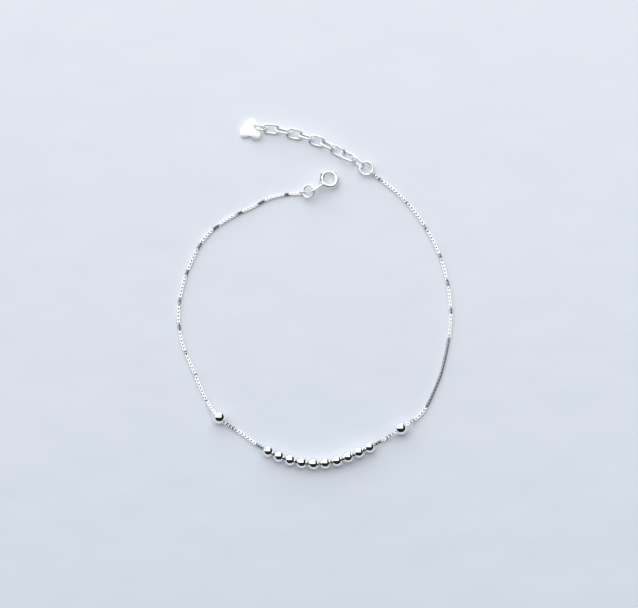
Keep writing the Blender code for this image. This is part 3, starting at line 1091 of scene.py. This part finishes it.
def slot_cutter():
    """A bent rod that stands in the wall of the ring, where the trigger travels."""
    slot_width = trigger_post + 2 * bolt_clearance
    margin = slot_width / 2 / clasp_radius
    wall_middle = (clasp_tube + clasp_bore) / 4
    slot_radius = clasp_radius + wall_middle * math.sin(trigger_lean)
    height = wall_middle * math.cos(trigger_lean)
    ends = (trigger_angle - margin, trigger_angle + trigger_travel + margin)
    slot = arc_points(slot_radius, *ends, slot_steps, height)
    return helper(wire_mesh(slot, slot_width, Matrix(), False))


def eyelet():
    points = oval_points(eyelet_length, eyelet_width, eyelet_wire)
    middle = clasp_diameter / 2 + eyelet_length / 2 - solder_depth
    turn = Matrix.Translation((middle, 0, 0)) @ Matrix.Rotation(eyelet_roll, 4, "X")
    return helper(wire_mesh(points, eyelet_wire, turn, True))


def clasp_ring_mesh():
    points = ring_points()
    mouths = softened(len(points), ends=4, least=0.90)
    tube = helper(wire_mesh(points, clasp_tube, Matrix(), False, mouths))
    cut(tube, "UNION", eyelet())
    around = arc_points(clasp_radius, 0, 2 * math.pi, bore_steps)[:-1]
    cut(tube, "DIFFERENCE", helper(wire_mesh(around, clasp_bore, Matrix(), True)))
    cut(tube, "DIFFERENCE", slot_cutter())
    data = tube.data.copy()
    discard(tube)
    data.transform(clasp_place)
    return data


clasp_ring = dress("clasp_ring", clasp_ring_mesh(), "clasp_silver")
print("clasp ring:", len(clasp_ring.data.polygons), "faces")

# %% [markdown]
# ## Bolt and trigger
#
# The bolt is a bar bent to the ring's radius, with rounded ends. The trigger is a post with a
# domed knob, turned like a bead and joined to the bar where it leans out of the slot. Both are
# one piece, which moves with the body of that joint.

# %% Bolt and trigger
trigger_turn_steps = 28
trigger_edge = 0.08 * mm
edge_steps = 4
dome_steps = 6
bolt_steps = 48


def trigger_profile():
    """Post and domed knob, from the bolt's middle outwards."""
    post = trigger_post / 2
    knob = trigger_knob / 2
    bottom = clasp_tube / 2 + bolt_clearance
    profile = [(0, 0), (post, 0), (post, bottom)]
    for step in range(edge_steps + 1):
        angle = math.pi / 2 * step / edge_steps
        inwards = trigger_edge * (1 - math.sin(angle))
        higher = trigger_edge * (1 - math.cos(angle))
        profile.append((knob - inwards, bottom + higher))
    dome = trigger_height - trigger_edge
    for step in range(dome_steps + 1):
        angle = math.pi / 2 * step / dome_steps
        profile.append((knob * math.cos(angle), bottom + trigger_edge + dome * math.sin(angle)))
    return [*profile[:-1], (0, bottom + trigger_height)]


def clasp_bolt_mesh():
    tip = clasp_gap_angle - clasp_half_gap - bolt_entry / clasp_radius
    tail = trigger_angle + trigger_tail / clasp_radius
    points = arc_points(clasp_radius, tip, tail, bolt_steps)
    rounded = softened(len(points), ends=3, least=0.75)
    bolt_diameter = clasp_bore - 2 * bolt_clearance
    bolt = helper(wire_mesh(points, bolt_diameter, Matrix(), False, rounded))
    at_ring = Matrix.Rotation(trigger_angle, 4, "Z") @ Matrix.Translation((clasp_radius, 0, 0))
    leaning = at_ring @ Matrix.Rotation(trigger_lean, 4, "Y")
    trigger = turned(trigger_profile(), trigger_turn_steps, closed=False, matrix=leaning)
    cut(bolt, "UNION", helper(trigger))
    data = bolt.data.copy()
    discard(bolt)
    data.transform(clasp_place)
    return data


clasp_bolt = dress("clasp_bolt", clasp_bolt_mesh(), "clasp_silver", body="trigger")
print("clasp bolt:", len(clasp_bolt.data.polygons), "faces")

# %% [markdown]
# ## The heart
#
# The tag is stamped from sheet, with a hole for its ring. Its outline is six Bezier points with
# the same handles as the model's, but with far more steps. A curve filled on both sides and
# extruded gives the plate.

# %% The heart's outline
heart_width = 5.25 * mm
heart_height = 5.15 * mm
heart_thickness = 0.45 * mm
heart_steps = 20  # along each of its six curves
tag_hole_diameter = 1.1 * mm
tag_hole_place = (0.24, 0.10)
tag_hole_steps = 40

# Outline as shares of width and height: point, handle before, handle after
heart_outline = [
    ((0.00, 0.50), (-0.15, 0.50), (0.15, 0.50)),
    ((0.50, -0.24), (0.50, 0.10), (0.50, -0.40)),
    ((0.31, -0.50), (0.42, -0.50), (0.20, -0.50)),
    ((0.00, -0.36), (0.08, -0.42), (-0.08, -0.42)),
    ((-0.31, -0.50), (-0.20, -0.50), (-0.42, -0.50)),
    ((-0.50, -0.24), (-0.50, -0.40), (-0.50, 0.10)),
]


def heart_point(share):
    """A point of the heart from its shares, measured from its middle."""
    return Vector((share[0] * heart_width, share[1] * heart_height, 0))


def heart_blank():
    """The stamped plate, before its edges are rounded."""
    data = bpy.data.curves.new("heart", "CURVE")
    data.dimensions = "2D"
    data.fill_mode = "BOTH"
    data.extrude = heart_thickness / 2
    data.resolution_u = heart_steps
    outline = data.splines.new("BEZIER")
    outline.bezier_points.add(len(heart_outline) - 1)
    outline.use_cyclic_u = True
    for point, (place, before, after) in zip(outline.bezier_points, heart_outline):
        point.handle_left_type = point.handle_right_type = "FREE"
        point.co = heart_point(place)
        point.handle_left = heart_point(before)
        point.handle_right = heart_point(after)
    hole = data.splines.new("POLY")
    hole.points.add(tag_hole_steps - 1)
    hole.use_cyclic_u = True
    middle = heart_point(tag_hole_place)
    rim = arc_points(tag_hole_diameter / 2, 0, 2 * math.pi, tag_hole_steps)
    for point, edge in zip(hole.points, rim):
        point.co = (*(middle + Vector(edge)), 1)
    return helper(data)


print("heart's outline:", len(heart_outline), "points")

# %% [markdown]
# ## The finished tag
#
# The plate has been tumbled, so its faces are flat and its edges soft, and a Bevel modifier
# rounds them. It leans on the cloth by its far lobe. How it leans is read from the solid: the
# direction in which its vertices spread least is the plate's normal.

# %% Heart
heart_heading = math.radians(80)
heart_edge = 0.07 * mm
heart_corner = math.radians(60)  # sharper edges than this are rounded


def heart_place():
    """Frame of the plate, with its origin in the middle of the heart."""
    normal = frame_of("heart_tag")[1][2]
    normal = normal if normal.z > 0 else -normal
    lean = up.rotation_difference(normal).to_matrix().to_4x4()
    turn = lean @ Matrix.Rotation(heart_heading - math.pi / 2, 4, "Z")
    points = [turn.inverted() @ vertex.co for vertex in frame["nodes"]["heart_tag"].data.vertices]
    least = [min(point[axis] for point in points) for axis in range(3)]
    most = [max(point[axis] for point in points) for axis in range(3)]
    middle = [(low + high) / 2 for low, high in zip(least, most)]
    return Matrix.Translation(turn @ Vector(middle)) @ turn


def heart_mesh():
    blank = heart_blank()
    plate = helper(plain_mesh(blank, Matrix()))
    rounded = plate.modifiers.new("rounded", "BEVEL")
    rounded.width = heart_edge
    rounded.segments = 3
    rounded.limit_method = "ANGLE"
    rounded.angle_limit = heart_corner
    data = plain_mesh(plate, heart_place())
    discard(blank, plate)
    return data


heart = dress("heart_tag", heart_mesh(), "tag_silver", crease=25)
print("heart:", len(heart.data.polygons), "faces")

# %% [markdown]
# ## Measure
#
# The finer pieces must not change the size of the bracelet. So the box of the model and the box
# of what now shows are printed side by side.

# %% Sizes
visual_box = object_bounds()
boxes = {"cad": [list(corner) for corner in cad_box], "visual": [list(corner) for corner in visual_box]}
for name, corners in boxes.items():
    print(name, "box, mm:", [[round(x / mm, 2) for x in corner] for corner in corners])
